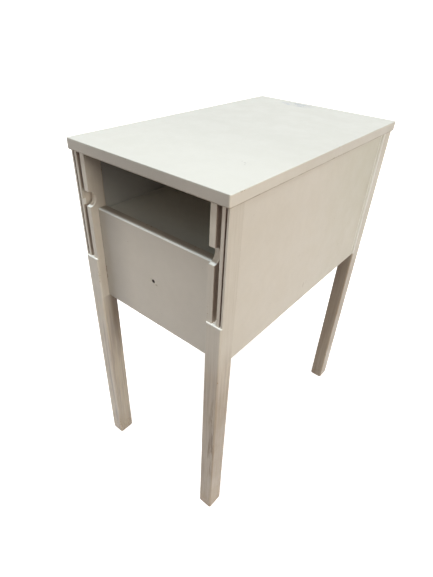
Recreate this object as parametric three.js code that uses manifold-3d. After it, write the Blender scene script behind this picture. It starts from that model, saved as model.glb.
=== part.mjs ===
// Bedside cabinet: a slim table on four legs, with an open niche under the top and a drawer below it.
// Millimetres, +Z up. The origin is on the floor under the middle of the cabinet, and the drawer opens
// towards -Y. Left and right are as seen from the front: the left half is the right half mirrored in X.

import * as THREE from "three";
import { mergeVertices } from "three/addons/utils/BufferGeometryUtils.js";
import Module from "manifold-3d";

// ---- overall size ----
const WIDTH = 300;
const DEPTH = 500;
const HEIGHT = 660;
const TOP_THICKNESS = 16;
const TOP_CORNER_RADIUS = 3;
const TOP_EASED_EDGE = 1;
const BOARD = 15; // side panels, back panel, shelf and drawer front
const GAP = 0.3; // clearance between pieces that touch
const UNDER_TOP_Z = HEIGHT - TOP_THICKNESS;
const ENDS = ["front", "rear"];

// ---- legs ----
const LEG_WIDTH = 28;
const LEG_DEPTH = 32;
const LEG_EDGE_RADIUS = 3;
const SIDE_OVERHANG = 3;
const END_OVERHANG = 2;
const LEG_OUTER_X = WIDTH / 2 - SIDE_OVERHANG;
const LEG_INNER_X = LEG_OUTER_X - LEG_WIDTH;
const LEG_END_Y = DEPTH / 2 - END_OVERHANG;
const LEG_BACK_Y = LEG_END_Y - LEG_DEPTH;
const LEG_MIDDLE_X = (LEG_OUTER_X + LEG_INNER_X) / 2;

// ---- cable channel in the front of each front leg ----
const LIP_Z = 467; // the channel ends here, on a narrow ledge
const LEDGE_DEPTH = 2.3; // how far the channelled face stands back from the leg's front
const INNER_WALL = 9.3;
const GROOVE_WIDTH = 8;
const GROOVE_DEPTH = 16;
const RIB = 4.9;
const SLOT_WIDTH = 2.8;
const SLOT_DEPTH = 12;
const NOTCH_RADIUS = 12.5;
const NOTCH_Z = 572.5;
const GROOVE_START_X = LEG_INNER_X + INNER_WALL;
const GROOVE_END_X = GROOVE_START_X + GROOVE_WIDTH;
const SLOT_START_X = GROOVE_END_X + RIB;
const CHANNEL_FACE_Y = -LEG_END_Y + LEDGE_DEPTH;

// ---- carcass panels ----
const PANEL_BOTTOM_Z = 388;
const SIDE_RECESS = 3; // the side panel stands back from the legs' outer faces
const SIDE_BOARD = 19;
const SIDE_OUTER_X = LEG_OUTER_X - SIDE_RECESS;
const SIDE_INNER_X = SIDE_OUTER_X - SIDE_BOARD;
const SIDE_MIDDLE_X = (SIDE_OUTER_X + SIDE_INNER_X) / 2;
const SHELF_TOP_Z = 547.5;
const SHELF_BOTTOM_Z = SHELF_TOP_Z - BOARD;
const SHELF_FRONT_Y = -214;

// ---- drawer ----
const FRONT_FACE_Y = -232.5;
const FRONT_BACK_Y = FRONT_FACE_Y + BOARD;
const FRONT_TOP_Z = 555;
const FRONT_SIDE_GAP = 0.8;
const FRONT_HALF_WIDTH = LEG_INNER_X - FRONT_SIDE_GAP;
const FRONT_EASED_EDGE = 2.5;
const KNOB_HOLE_RADIUS = 2.5;
const KNOB_HOLE_Z = (PANEL_BOTTOM_Z + FRONT_TOP_Z) / 2;
const RUNNER_SPACE = 12.5; // between the drawer box and the side panel
const BOX_OUTER_X = SIDE_INNER_X - RUNNER_SPACE;
const BOX_WALL = 12;
const BOX_INNER_X = BOX_OUTER_X - BOX_WALL;
const BOX_BOTTOM_Z = 404;
const BOX_TOP_Z = 514;
const BOX_REAR_Y = 190;
const BOTTOM_THICKNESS = 3;
const BOTTOM_Z = 411.3;
const BOTTOM_GROOVE_Z = [BOTTOM_Z - GAP, BOTTOM_Z + BOTTOM_THICKNESS + GAP];
const GROOVE_IN_SIDE = 6;
const GROOVE_IN_FRONT = 5;
const BUMPER_RADIUS = 5;
const BUMPER_X = 70;

// ---- runners: a roller on the cabinet rail in front, one on the drawer rail at the back ----
const SHEET = 1.1;
const TRACK_Z = 402; // upper side of the cabinet rail's lower flange
const ROLLER_RADIUS = 8;
const AXLE_Z = TRACK_Z + GAP + ROLLER_RADIUS;
const FLANGE_Z = AXLE_Z + ROLLER_RADIUS + GAP; // underside of the drawer rail's flange
const CABINET_RAIL_TOP_Z = FLANGE_Z + SHEET + 0.6;
const CABINET_RAIL_TIP_X = 115;
const CABINET_RAIL_Y = [-214, 192];
const DRAWER_RAIL_TIP_X = 118.2;
const DRAWER_RAIL_FOOT_X = 101;
const DRAWER_RAIL_Y = [FRONT_BACK_Y + GAP, 188];
const PIN_RADIUS = 2.2;
const PIN_HEAD_RADIUS = 3.4;
const PIN_HEAD = 0.7;
const ROLLER_CHAMFER = 0.6;
const FRONT_ROLLER_Y = -203;
const REAR_ROLLER_Y = 176;
const FRONT_ROLLER_X = [115.4, 121.9];
const REAR_ROLLER_X = [114.4, 121.4];

// ---- fittings ----
const DOWEL_RADIUS = 4;
const THIN_DOWEL_RADIUS = 3;
const DOWEL_CHAMFER = 0.8;
const CAM_RADIUS = 7.3;
const CAM_HEIGHT = 11.5;
const CAM_SETBACK = 24; // from the shelf's end to the middle of the cam
const CAM_BOLT_Z = SHELF_TOP_Z - 8;
const CAM_X = SIDE_INNER_X - CAM_SETBACK;
const CAM_POSITIONS = [-150, 150];
const CAM_MOUTH = 7.6;
const DRIVER_CROSS = 8;
const DRIVER_BLADE = 1.4;
const DRIVER_DEPTH = 2;
const BOLT_RADIUS = 2.9;
const BOLT_GRIP = 10; // how far the cam bolt goes into the side panel
const BOLT_HEAD = 3;
const BOLT_HEAD_RADIUS = 3.2;
const BOLT_NECK_RADIUS = 2;
const SCREW_RADIUS = 1.6;
const SCREW_HEAD = 1.2;
const SCREW_HEAD_RADIUS = 3.2;
const RAIL_SCREW_Z = (TRACK_Z + CABINET_RAIL_TOP_Z) / 2;
const CABINET_SCREW_Y = [-150, 120];
const CABINET_SCREW_LENGTH = 13;
const DRAWER_SCREW_X = 109.5;
const DRAWER_SCREW_Y = [-120, 100];
const DRAWER_SCREW_LENGTH = 9;
const FINE = 20; // sides of a round piece or hole
const COARSE = 10;

const wasm = await Module();
wasm.setup();

// ---- solids ----
function toSolid(geometry) {
  const bare = geometry.index ? geometry.toNonIndexed() : geometry.clone();
  bare.deleteAttribute("normal");
  bare.deleteAttribute("uv");
  const merged = mergeVertices(bare, 1e-4);
  return new wasm.Manifold(
    new wasm.Mesh({
      numProp: 3,
      vertProperties: new Float32Array(merged.attributes.position.array),
      triVerts: new Uint32Array(merged.index.array),
    }),
  );
}

function toGeometry(solid) {
  const data = solid.getMesh();
  const geometry = new THREE.BufferGeometry();
  geometry.setAttribute("position", new THREE.BufferAttribute(data.vertProperties, data.numProp));
  geometry.setIndex(new THREE.BufferAttribute(data.triVerts, 1));
  const flat = geometry.toNonIndexed();
  flat.computeVertexNormals();
  return flat;
}

function cut(blank, ...tools) {
  return toGeometry(tools.reduce((solid, tool) => solid.subtract(toSolid(tool)), toSolid(blank)));
}

function join(...pieces) {
  return toGeometry(pieces.map(toSolid).reduce((whole, piece) => whole.add(piece)));
}

function block([x0, x1], [y0, y1], [z0, z1]) {
  const geometry = new THREE.BoxGeometry(x1 - x0, y1 - y0, z1 - z0);
  return geometry.translate((x0 + x1) / 2, (y0 + y1) / 2, (z0 + z1) / 2);
}

// A profile of [radius, distance] turned about its axis, which starts at the given point.
function turned(profile, axis, [x, y, z], sides) {
  const points = profile.map(([radius, distance]) => new THREE.Vector2(radius, distance));
  const geometry = new THREE.LatheGeometry(points, sides);
  if (axis === "x") geometry.rotateZ(-Math.PI / 2);
  if (axis === "z") geometry.rotateX(Math.PI / 2);
  return geometry.translate(x, y, z);
}

function rod(radius, length, axis, start, sides) {
  const profile = [[0, 0], [radius, 0], [radius, length], [0, length]];
  return turned(profile, axis, start, sides);
}

function roundedRectangle([x0, x1], [y0, y1], radius) {
  const outline = new THREE.Shape();
  outline.absarc(x1 - radius, y0 + radius, radius, -Math.PI / 2, 0);
  outline.absarc(x1 - radius, y1 - radius, radius, 0, Math.PI / 2);
  outline.absarc(x0 + radius, y1 - radius, radius, Math.PI / 2, Math.PI);
  outline.absarc(x0 + radius, y0 + radius, radius, Math.PI, Math.PI * 1.5);
  return outline;
}

function upright(outline, [z0, z1]) {
  const options = { depth: z1 - z0, bevelEnabled: false, curveSegments: 4 };
  return new THREE.ExtrudeGeometry(outline, options).translate(0, 0, z0);
}

// A section drawn in X and Z, run along Y.
function alongY(points, [y0, y1]) {
  const outline = new THREE.Shape(points.map(([x, z]) => new THREE.Vector2(x, z)));
  const options = { depth: y1 - y0, bevelEnabled: false };
  return new THREE.ExtrudeGeometry(outline, options).rotateX(Math.PI / 2).translate(0, y1, 0);
}

// ---- materials ----
function finish(color, roughness, metalness) {
  return () => new THREE.MeshStandardMaterial({ color, roughness, metalness });
}
const whitePaint = finish(0xe9e6dc, 0.42, 0);
const whiteFoil = finish(0xe4e2da, 0.5, 0);
const beech = finish(0xcfa673, 0.7, 0);
const zinc = finish(0x9ea3a6, 0.4, 0.9);
const whiteEnamel = finish(0xdadbd8, 0.4, 0.3);
const nylon = finish(0xd8d6cf, 0.5, 0);
const rubber = finish(0x8d8b86, 0.8, 0);

const cabinet = new THREE.Group();
const leftHalf = new THREE.Group();
const rightHalf = new THREE.Group();
leftHalf.scale.x = -1;
cabinet.add(leftHalf, rightHalf);

function place(parent, name, geometry, material) {
  const mesh = new THREE.Mesh(geometry, material());
  mesh.name = name;
  parent.add(mesh);
}

// ---- dowels: each one is described once, and makes the dowel and the holes for it ----
function dowel(axis, middle, into, outOf, radius) {
  return { axis, middle, into, outOf, radius };
}

function dowelBody({ axis, middle, into, outOf, radius }) {
  const length = into + outOf;
  const profile = [
    [0, 0],
    [radius - DOWEL_CHAMFER, 0],
    [radius, DOWEL_CHAMFER],
    [radius, length - DOWEL_CHAMFER],
    [radius - DOWEL_CHAMFER, length],
    [0, length],
  ];
  return turned(profile, axis, shifted(middle, axis, -outOf), COARSE);
}

function dowelHole({ axis, middle, into, outOf, radius }) {
  const start = shifted(middle, axis, -outOf - GAP);
  return rod(radius + GAP, into + outOf + 2 * GAP, axis, start, COARSE);
}

function shifted([x, y, z], axis, distance) {
  if (axis === "x") return [x + distance, y, z];
  if (axis === "y") return [x, y + distance, z];
  return [x, y, z + distance];
}

const SIDE_DOWEL_Z = { low: 420, high: 600 };
const BACK_DOWEL_Z = { low: 450, high: 560 };
const BACK_MIDDLE_Y = LEG_BACK_Y + BOARD / 2;
const topDowels = {
  front: dowel("z", [LEG_MIDDLE_X, -LEG_BACK_Y - 7, UNDER_TOP_Z], 10, 14, DOWEL_RADIUS),
  rear: dowel("z", [LEG_MIDDLE_X, LEG_BACK_Y + 20, UNDER_TOP_Z], 10, 14, DOWEL_RADIUS),
};
const sideDowels = { front: {}, rear: {} };
const backDowels = {};
for (const [level, z] of Object.entries(SIDE_DOWEL_Z)) {
  sideDowels.front[level] = dowel("y", [SIDE_MIDDLE_X, -LEG_BACK_Y, z], 18, 12, DOWEL_RADIUS);
  sideDowels.rear[level] = dowel("y", [SIDE_MIDDLE_X, LEG_BACK_Y, z], 12, 18, DOWEL_RADIUS);
}
for (const [level, z] of Object.entries(BACK_DOWEL_Z)) {
  backDowels[level] = dowel("x", [LEG_INNER_X, BACK_MIDDLE_Y, z], 12, 18, DOWEL_RADIUS);
}
const BOX_WALL_MIDDLE_X = BOX_OUTER_X - BOX_WALL / 2;
const boxFrontDowel = dowel("y", [BOX_WALL_MIDDLE_X, FRONT_BACK_Y, 480], 18, 9, THIN_DOWEL_RADIUS);
const boxBackDowel = dowel("x", [BOX_INNER_X, BOX_REAR_Y - 6, 470], 8, 15, THIN_DOWEL_RADIUS);

// ---- legs ----
function legBlank([y0, y1]) {
  const outline = roundedRectangle([LEG_INNER_X, LEG_OUTER_X], [y0, y1], LEG_EDGE_RADIUS);
  return upright(outline, [0, UNDER_TOP_Z - GAP]);
}

function frontLeg() {
  const past = 1;
  const channelZ = [LIP_Z, HEIGHT];
  const step = block(
    [LEG_INNER_X - past, LEG_OUTER_X + past],
    [-LEG_END_Y - past, CHANNEL_FACE_Y],
    channelZ,
  );
  const groove = block(
    [GROOVE_START_X, GROOVE_END_X],
    [CHANNEL_FACE_Y - past, CHANNEL_FACE_Y + GROOVE_DEPTH],
    channelZ,
  );
  const slot = block(
    [SLOT_START_X, SLOT_START_X + SLOT_WIDTH],
    [CHANNEL_FACE_Y - past, CHANNEL_FACE_Y + SLOT_DEPTH],
    channelZ,
  );
  const notchStart = [LEG_INNER_X - past, CHANNEL_FACE_Y, NOTCH_Z];
  const notch = rod(NOTCH_RADIUS, INNER_WALL + 2 * past, "x", notchStart, FINE * 2);
  return cut(
    legBlank([-LEG_END_Y, -LEG_BACK_Y]),
    step,
    groove,
    slot,
    notch,
    dowelHole(topDowels.front),
    dowelHole(sideDowels.front.low),
    dowelHole(sideDowels.front.high),
  );
}

function rearLeg() {
  return cut(
    legBlank([LEG_BACK_Y, LEG_END_Y]),
    dowelHole(topDowels.rear),
    dowelHole(sideDowels.rear.low),
    dowelHole(sideDowels.rear.high),
    dowelHole(backDowels.low),
    dowelHole(backDowels.high),
  );
}

// ---- carcass panels ----
function mirrored(geometry) {
  const copy = geometry.index ? geometry.toNonIndexed() : geometry.clone();
  const positions = copy.attributes.position;
  for (let i = 0; i < positions.count; i += 3) {
    const corners = [0, 2, 1].map((k) => new THREE.Vector3().fromBufferAttribute(positions, i + k));
    corners.forEach((corner, k) => positions.setXYZ(i + k, -corner.x, corner.y, corner.z));
  }
  return copy;
}

function withMirror(...geometries) {
  return geometries.flatMap((geometry) => [geometry, mirrored(geometry)]);
}

function topPanel() {
  const eased = TOP_EASED_EDGE;
  const outline = roundedRectangle(
    [-WIDTH / 2 + eased, WIDTH / 2 - eased],
    [-DEPTH / 2 + eased, DEPTH / 2 - eased],
    TOP_CORNER_RADIUS - eased,
  );
  const slab = new THREE.ExtrudeGeometry(outline, {
    depth: TOP_THICKNESS - 2 * eased,
    bevelThickness: eased,
    bevelSize: eased,
    bevelSegments: 1,
    curveSegments: 4,
  });
  slab.translate(0, 0, UNDER_TOP_Z + eased);
  return cut(slab, ...withMirror(dowelHole(topDowels.front), dowelHole(topDowels.rear)));
}

function sidePanel() {
  const blank = block(
    [SIDE_INNER_X, SIDE_OUTER_X],
    [-LEG_BACK_Y + GAP, LEG_BACK_Y - GAP],
    [PANEL_BOTTOM_Z, UNDER_TOP_Z - GAP],
  );
  const boltHoles = CAM_POSITIONS.map((y) =>
    rod(BOLT_RADIUS + GAP, BOLT_GRIP + 2 * GAP, "x", [SIDE_INNER_X - GAP, y, CAM_BOLT_Z], COARSE),
  );
  const screwHoles = CABINET_SCREW_Y.map((y) =>
    rod(SCREW_RADIUS + GAP, CABINET_SCREW_LENGTH, "x", [SIDE_INNER_X - GAP, y, RAIL_SCREW_Z], COARSE),
  );
  return cut(
    blank,
    ...boltHoles,
    ...screwHoles,
    dowelHole(sideDowels.front.low),
    dowelHole(sideDowels.front.high),
    dowelHole(sideDowels.rear.low),
    dowelHole(sideDowels.rear.high),
  );
}

function backPanel() {
  const halfWidth = LEG_INNER_X - GAP;
  const blank = block(
    [-halfWidth, halfWidth],
    [LEG_BACK_Y, LEG_BACK_Y + BOARD],
    [PANEL_BOTTOM_Z, UNDER_TOP_Z - GAP],
  );
  return cut(blank, ...withMirror(dowelHole(backDowels.low), dowelHole(backDowels.high)));
}

function shelf() {
  const halfWidth = SIDE_INNER_X - GAP;
  const blank = block(
    [-halfWidth, halfWidth],
    [SHELF_FRONT_Y, LEG_BACK_Y - GAP],
    [SHELF_BOTTOM_Z, SHELF_TOP_Z],
  );
  const holes = CAM_POSITIONS.flatMap((y) => [
    rod(CAM_RADIUS + GAP, CAM_HEIGHT + 3 * GAP, "z", [CAM_X, y, SHELF_BOTTOM_Z - GAP], FINE),
    rod(BOLT_RADIUS + GAP, CAM_SETBACK + 1, "x", [CAM_X, y, CAM_BOLT_Z], COARSE),
  ]);
  return cut(blank, ...withMirror(...holes));
}

// ---- cam fittings that hold the shelf between the side panels ----
function cam(y) {
  const bottom = SHELF_BOTTOM_Z + GAP;
  const disc = rod(CAM_RADIUS, CAM_HEIGHT, "z", [CAM_X, y, bottom], FINE);
  const mouth = block(
    [CAM_X - CAM_MOUTH / 2, CAM_X + CAM_RADIUS + 1],
    [y - CAM_MOUTH / 2, y + CAM_MOUTH / 2],
    [CAM_BOLT_Z - CAM_MOUTH / 2, HEIGHT],
  );
  const arm = [-DRIVER_CROSS / 2, DRIVER_CROSS / 2];
  const blade = [-DRIVER_BLADE / 2, DRIVER_BLADE / 2];
  const depth = [bottom - 1, bottom + DRIVER_DEPTH];
  const crossX = block(arm, blade, depth).translate(CAM_X, y, 0);
  const crossY = block(blade, arm, depth).translate(CAM_X, y, 0);
  return cut(disc, mouth, crossX, crossY);
}

function camBolt(y) {
  const neck = CAM_SETBACK - BOLT_HEAD / 2;
  const profile = [
    [0, 0],
    [BOLT_HEAD_RADIUS, 0],
    [BOLT_HEAD_RADIUS, BOLT_HEAD],
    [BOLT_NECK_RADIUS, BOLT_HEAD],
    [BOLT_NECK_RADIUS, neck],
    [BOLT_RADIUS, neck + 2],
    [BOLT_RADIUS, CAM_SETBACK + BOLT_HEAD / 2 + BOLT_GRIP - 1],
    [BOLT_RADIUS - 1, CAM_SETBACK + BOLT_HEAD / 2 + BOLT_GRIP],
    [0, CAM_SETBACK + BOLT_HEAD / 2 + BOLT_GRIP],
  ];
  return turned(profile, "x", [CAM_X - BOLT_HEAD / 2, y, CAM_BOLT_Z], COARSE);
}

// ---- drawer ----
function drawerFront() {
  const eased = FRONT_EASED_EDGE;
  const y = [FRONT_FACE_Y, FRONT_BACK_Y];
  const section = new THREE.Shape();
  section.moveTo(y[1], PANEL_BOTTOM_Z);
  section.lineTo(y[1], FRONT_TOP_Z);
  section.lineTo(y[0] + eased, FRONT_TOP_Z);
  section.absarc(y[0] + eased, FRONT_TOP_Z - eased, eased, Math.PI / 2, Math.PI);
  section.lineTo(y[0], PANEL_BOTTOM_Z);
  const options = { depth: 2 * FRONT_HALF_WIDTH, bevelEnabled: false, curveSegments: 4 };
  const slab = new THREE.ExtrudeGeometry(section, options);
  slab.rotateX(Math.PI / 2).rotateZ(Math.PI / 2).translate(-FRONT_HALF_WIDTH, 0, 0);
  const knobHole = rod(KNOB_HOLE_RADIUS, BOARD + 2, "y", [0, FRONT_FACE_Y - 1, KNOB_HOLE_Z], FINE);
  const bottomGroove = block(
    [-BOX_INNER_X - GROOVE_IN_SIDE, BOX_INNER_X + GROOVE_IN_SIDE],
    [FRONT_BACK_Y - GROOVE_IN_FRONT, FRONT_BACK_Y + 1],
    BOTTOM_GROOVE_Z,
  );
  return cut(slab, knobHole, bottomGroove, ...withMirror(dowelHole(boxFrontDowel)));
}

function drawerSide() {
  const blank = block(
    [BOX_INNER_X, BOX_OUTER_X],
    [FRONT_BACK_Y + GAP, BOX_REAR_Y],
    [BOX_BOTTOM_Z, BOX_TOP_Z],
  );
  const bottomGroove = block(
    [BOX_INNER_X - 1, BOX_INNER_X + GROOVE_IN_SIDE],
    [FRONT_BACK_Y - 1, BOX_REAR_Y + 1],
    BOTTOM_GROOVE_Z,
  );
  const screwHoles = DRAWER_SCREW_Y.map((y) =>
    rod(
      SCREW_RADIUS + GAP,
      DRAWER_SCREW_LENGTH,
      "z",
      [DRAWER_SCREW_X, y, BOX_BOTTOM_Z - 2 * GAP],
      COARSE,
    ),
  );
  return cut(blank, bottomGroove, ...screwHoles, dowelHole(boxFrontDowel), dowelHole(boxBackDowel));
}

function drawerBack() {
  const halfWidth = BOX_INNER_X - GAP;
  const blank = block(
    [-halfWidth, halfWidth],
    [BOX_REAR_Y - BOX_WALL, BOX_REAR_Y],
    [BOTTOM_Z + BOTTOM_THICKNESS + GAP, BOX_TOP_Z],
  );
  return cut(blank, ...withMirror(dowelHole(boxBackDowel)));
}

function drawerBottom() {
  const halfWidth = BOX_INNER_X + GROOVE_IN_SIDE - 1;
  return block(
    [-halfWidth, halfWidth],
    [FRONT_BACK_Y - GROOVE_IN_FRONT + GAP, BOX_REAR_Y],
    [BOTTOM_Z, BOTTOM_Z + BOTTOM_THICKNESS],
  );
}

function bumper() {
  const start = FRONT_BACK_Y + GAP;
  const middleZ = (SHELF_TOP_Z + SHELF_BOTTOM_Z) / 2;
  const thickness = SHELF_FRONT_Y - GAP - start;
  return rod(BUMPER_RADIUS, thickness, "y", [BUMPER_X, start, middleZ], COARSE);
}

// ---- runners ----
function cabinetRail() {
  const outer = SIDE_INNER_X - GAP;
  const inner = outer - SHEET;
  const tip = CABINET_RAIL_TIP_X;
  const section = [
    [outer, TRACK_Z - SHEET],
    [outer, CABINET_RAIL_TOP_Z + SHEET],
    [tip, CABINET_RAIL_TOP_Z + SHEET],
    [tip, CABINET_RAIL_TOP_Z],
    [inner, CABINET_RAIL_TOP_Z],
    [inner, TRACK_Z],
    [tip, TRACK_Z],
    [tip, TRACK_Z - SHEET],
  ];
  const headStart = FRONT_ROLLER_X[0] - GAP - PIN_HEAD;
  const pinStart = [headStart + PIN_HEAD / 2, FRONT_ROLLER_Y, AXLE_Z];
  const pin = rod(PIN_RADIUS, inner + SHEET / 2 - pinStart[0], "x", pinStart, FINE);
  const head = rod(PIN_HEAD_RADIUS, PIN_HEAD, "x", [headStart, FRONT_ROLLER_Y, AXLE_Z], FINE);
  const rail = join(alongY(section, CABINET_RAIL_Y), pin, head);
  const holes = CABINET_SCREW_Y.map((y) =>
    rod(SCREW_RADIUS + GAP, 4, "x", [inner - 1, y, RAIL_SCREW_Z], COARSE),
  );
  return cut(rail, ...holes);
}

function drawerRail() {
  const web = BOX_OUTER_X + GAP;
  const footTop = BOX_BOTTOM_Z - GAP;
  const section = [
    [DRAWER_RAIL_FOOT_X, footTop - SHEET],
    [web + SHEET, footTop - SHEET],
    [web + SHEET, FLANGE_Z],
    [DRAWER_RAIL_TIP_X, FLANGE_Z],
    [DRAWER_RAIL_TIP_X, FLANGE_Z + SHEET],
    [web, FLANGE_Z + SHEET],
    [web, footTop],
    [DRAWER_RAIL_FOOT_X, footTop],
  ];
  const headStart = REAR_ROLLER_X[1] + GAP;
  const pinStart = [web + SHEET / 2, REAR_ROLLER_Y, AXLE_Z];
  const pin = rod(PIN_RADIUS, headStart + PIN_HEAD / 2 - pinStart[0], "x", pinStart, FINE);
  const head = rod(PIN_HEAD_RADIUS, PIN_HEAD, "x", [headStart, REAR_ROLLER_Y, AXLE_Z], FINE);
  const rail = join(alongY(section, DRAWER_RAIL_Y), pin, head);
  const holes = DRAWER_SCREW_Y.map((y) =>
    rod(SCREW_RADIUS + GAP, 4, "z", [DRAWER_SCREW_X, y, footTop - SHEET - 1], COARSE),
  );
  return cut(rail, ...holes);
}

function roller([x0, x1], y) {
  const bore = PIN_RADIUS + GAP;
  const width = x1 - x0;
  const profile = [
    [bore, 0],
    [ROLLER_RADIUS - ROLLER_CHAMFER, 0],
    [ROLLER_RADIUS, ROLLER_CHAMFER],
    [ROLLER_RADIUS, width - ROLLER_CHAMFER],
    [ROLLER_RADIUS - ROLLER_CHAMFER, width],
    [bore, width],
    [bore, 0],
  ];
  return turned(profile, "x", [x0, y, AXLE_Z], FINE);
}

// ---- screws, head first ----
function screwProfile(length) {
  return [
    [0, 0],
    [SCREW_HEAD_RADIUS - 0.6, 0],
    [SCREW_HEAD_RADIUS, 0.5],
    [SCREW_HEAD_RADIUS, SCREW_HEAD],
    [SCREW_RADIUS, SCREW_HEAD],
    [SCREW_RADIUS, length - 2],
    [0.4, length],
    [0, length],
  ];
}

function cabinetScrew(y) {
  const start = SIDE_INNER_X - GAP - SHEET - SCREW_HEAD - 0.1;
  return turned(screwProfile(CABINET_SCREW_LENGTH), "x", [start, y, RAIL_SCREW_Z], COARSE);
}

function drawerScrew(y) {
  const start = BOX_BOTTOM_Z - GAP - SHEET - SCREW_HEAD - 0.1;
  return turned(screwProfile(DRAWER_SCREW_LENGTH), "z", [DRAWER_SCREW_X, y, start], COARSE);
}

// ---- the cabinet ----
place(cabinet, "top_panel", topPanel(), whitePaint);
place(cabinet, "back_panel", backPanel(), whitePaint);
place(cabinet, "niche_shelf", shelf(), whitePaint);
place(cabinet, "drawer_front", drawerFront(), whitePaint);
place(cabinet, "drawer_back", drawerBack(), whiteFoil);
place(cabinet, "drawer_bottom", drawerBottom(), whiteFoil);

for (const [side, half] of [["left", leftHalf], ["right", rightHalf]]) {
  place(half, "leg_front_" + side, frontLeg(), whitePaint);
  place(half, "leg_rear_" + side, rearLeg(), whitePaint);
  place(half, "side_panel_" + side, sidePanel(), whitePaint);
  place(half, "drawer_side_" + side, drawerSide(), whiteFoil);
  place(half, "drawer_bumper_" + side, bumper(), rubber);
  place(half, "drawer_front_dowel_" + side, dowelBody(boxFrontDowel), beech);
  place(half, "drawer_back_dowel_" + side, dowelBody(boxBackDowel), beech);
  place(half, "cabinet_rail_" + side, cabinetRail(), whiteEnamel);
  place(half, "drawer_rail_" + side, drawerRail(), whiteEnamel);
  place(half, "front_roller_" + side, roller(FRONT_ROLLER_X, FRONT_ROLLER_Y), nylon);
  place(half, "rear_roller_" + side, roller(REAR_ROLLER_X, REAR_ROLLER_Y), nylon);
  for (const [level, piece] of Object.entries(backDowels)) {
    place(half, `back_dowel_${level}_${side}`, dowelBody(piece), beech);
  }
  ENDS.forEach((end, i) => {
    place(half, `top_dowel_${end}_${side}`, dowelBody(topDowels[end]), beech);
    for (const [level, piece] of Object.entries(sideDowels[end])) {
      place(half, `side_dowel_${end}_${level}_${side}`, dowelBody(piece), beech);
    }
    place(half, `shelf_cam_${end}_${side}`, cam(CAM_POSITIONS[i]), zinc);
    place(half, `shelf_bolt_${end}_${side}`, camBolt(CAM_POSITIONS[i]), zinc);
    place(half, `cabinet_rail_screw_${end}_${side}`, cabinetScrew(CABINET_SCREW_Y[i]), zinc);
    place(half, `drawer_rail_screw_${end}_${side}`, drawerScrew(DRAWER_SCREW_Y[i]), zinc);
  });
}

export default cabinet;
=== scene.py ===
import math
import random

import bmesh
import bpy
from mathutils import Matrix, Vector


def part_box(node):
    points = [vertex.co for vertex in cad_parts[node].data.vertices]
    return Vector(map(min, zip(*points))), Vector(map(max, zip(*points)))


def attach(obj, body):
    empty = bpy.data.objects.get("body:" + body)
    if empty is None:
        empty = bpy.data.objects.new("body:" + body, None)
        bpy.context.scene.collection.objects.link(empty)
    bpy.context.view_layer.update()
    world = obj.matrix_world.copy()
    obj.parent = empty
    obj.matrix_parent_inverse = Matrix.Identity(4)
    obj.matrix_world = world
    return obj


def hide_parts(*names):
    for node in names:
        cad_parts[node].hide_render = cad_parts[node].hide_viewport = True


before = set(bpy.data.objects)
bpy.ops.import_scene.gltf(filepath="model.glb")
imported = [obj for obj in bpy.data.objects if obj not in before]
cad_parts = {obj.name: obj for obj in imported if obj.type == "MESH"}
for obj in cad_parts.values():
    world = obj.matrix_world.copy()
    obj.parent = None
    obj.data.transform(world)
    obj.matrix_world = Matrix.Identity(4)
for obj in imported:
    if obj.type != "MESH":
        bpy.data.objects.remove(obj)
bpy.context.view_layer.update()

# A painted bedside cabinet. Every board is modelled again here with its rounded edges, cable
# channels, knob hole and small dents, but without the bores for its hidden fittings. The fittings
# keep their CAD shapes, with softened edges.
# Lengths are in millimetres, and become metres where a mesh or a mask is made. Bump heights, the
# lamps, the dome and the camera are in metres, and a noise scale counts features per metre.

MM = 0.001
SIDES = ("left", "right")

# ---- camera: where it stands, and how it is turned in degrees ----
CAMERA_AT = (0.3963, -0.5846, 0.8298)
CAMERA_AZIMUTH = 127.763
CAMERA_ELEVATION = -35.077
CAMERA_ROLL = 2.96
CAMERA_LENS = 25.64

# ---- paint, what shows through it or lies on it, and painted shade and highlights ----
CREAM = (0.66, 0.596, 0.515)
CREAM_PALE = (0.675, 0.61, 0.53)
# painted light: a whiter, cooler tone for the top's upper face, as if lit by cool light from above
TOP_LIT_WHITE = (0.62, 0.60, 0.55)
TOP_LIT_WHITE_PALE = (0.632, 0.612, 0.562)
LEG_WARMTH = (1.03, 0.985, 0.92)
INSIDE_GREY = (0.50, 0.505, 0.47)
SHELF_TONE = (0.57, 0.545, 0.475)
# painted shade, olive, for the side panels' upper rear corners
PAINTED_SHADE_OLIVE = (0.49, 0.465, 0.345)
# painted highlight on edges, lips, notches and joints
HIGHLIGHT_WHITE = (0.88, 0.87, 0.83)
PRIMER = (0.55, 0.49, 0.40)
BARE_WOOD = (0.34, 0.215, 0.115)
WORN_BROWN = (0.40, 0.27, 0.155)
# dark brown for stains and a smear, and for painted shadow under the boards
BROWN_STAIN_AND_SHADE = (0.17, 0.105, 0.05)
STREAK_MAUVE = (0.42, 0.345, 0.315)
# painted shade in the cable channels
CHANNEL_SHADE = (0.34, 0.205, 0.16)
# dirt, and painted shade on the right legs and on the drawer front's top face
GRIME_AND_SHADE = (0.30, 0.22, 0.145)
# soot for specks, and painted shade on the top, the drawer front and inside the knob hole
SOOT_AND_SHADE = (0.055, 0.045, 0.04)
SCUFF_BLUE = (0.25, 0.28, 0.38)
SCUFF_INK = (0.10, 0.11, 0.17)
UPRIGHT_GRAIN = (330.0, 330.0, 9.0)

# ---- the drawer box's foil ----
FOIL_WHITE = (0.72, 0.70, 0.65)
FOIL_GREY = (0.68, 0.66, 0.60)
PARTICLE_BOARD = (0.45, 0.33, 0.20)

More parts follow.
